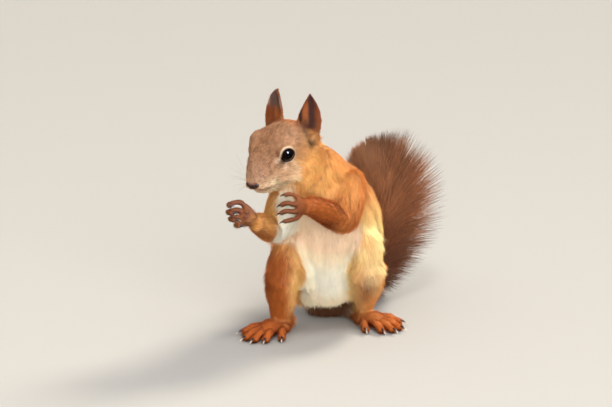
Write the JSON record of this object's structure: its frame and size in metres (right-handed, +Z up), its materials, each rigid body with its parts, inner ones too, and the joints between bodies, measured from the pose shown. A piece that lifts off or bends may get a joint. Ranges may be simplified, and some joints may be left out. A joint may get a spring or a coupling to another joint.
{
  "type": "red squirrel model",
  "caption": "Life-size red squirrel sitting upright on its haunches, hands raised empty to its mouth, head turned to its right, bushy tail raised behind.",
  "frame": {"origin": "on the floor, under the middle of the whole model's box seen from above", "axes": "+Z up, -Y the way the trunk faces, +X the animal's left, where its tail rises; the head is turned about 35 degrees towards -X"},
  "size_m": [0.146, 0.1592, 0.1588],
  "materials": {
    "coat_orange": "soft fur, bright orange, cream on throat, chest and belly",
    "coat_grey_brown": "short fur, grey-brown flecked with cream",
    "coat_rust": "short fur, rust brown",
    "coat_tail": "long loose fur, dark red-brown with near-black tips",
    "eye_dark": "wet gloss",
    "nose_dark": "bare skin, slightly moist",
    "claw_horn": "polished horn"
  },
  "bodies": {
    "root": {"trunk": "coat_orange", "neck": "coat_orange", "upper_arm_left": "coat_orange", "upper_arm_right": "coat_orange", "thigh_left": "coat_orange", "thigh_right": "coat_orange", "shank_left": "coat_orange", "shank_right": "coat_orange", "foot_left": "coat_orange", "foot_right": "coat_orange", "head": "coat_grey_brown", "forearm_left": "coat_rust", "forearm_right": "coat_rust", "hand_left": "coat_rust", "hand_right": "coat_rust", "ear_left": "coat_rust", "ear_right": "coat_rust", "tail_1": "coat_tail", "tail_2": "coat_tail", "tail_3": "coat_tail", "tail_4": "coat_tail", "tail_5": "coat_tail", "tail_6": "coat_tail", "eye_left": "eye_dark", "eye_right": "eye_dark", "nose": "nose_dark", "claw_hand_left_1": "claw_horn", "claw_hand_left_2": "claw_horn", "claw_hand_left_3": "claw_horn", "claw_hand_left_4": "claw_horn", "claw_hand_right_1": "claw_horn", "claw_hand_right_2": "claw_horn", "claw_hand_right_3": "claw_horn", "claw_hand_right_4": "claw_horn", "claw_foot_left_1": "claw_horn", "claw_foot_left_2": "claw_horn", "claw_foot_left_3": "claw_horn", "claw_foot_left_4": "claw_horn", "claw_foot_left_5": "claw_horn", "claw_foot_right_1": "claw_horn", "claw_foot_right_2": "claw_horn", "claw_foot_right_3": "claw_horn", "claw_foot_right_4": "claw_horn", "claw_foot_right_5": "claw_horn"}
  },
  "joints": []
}
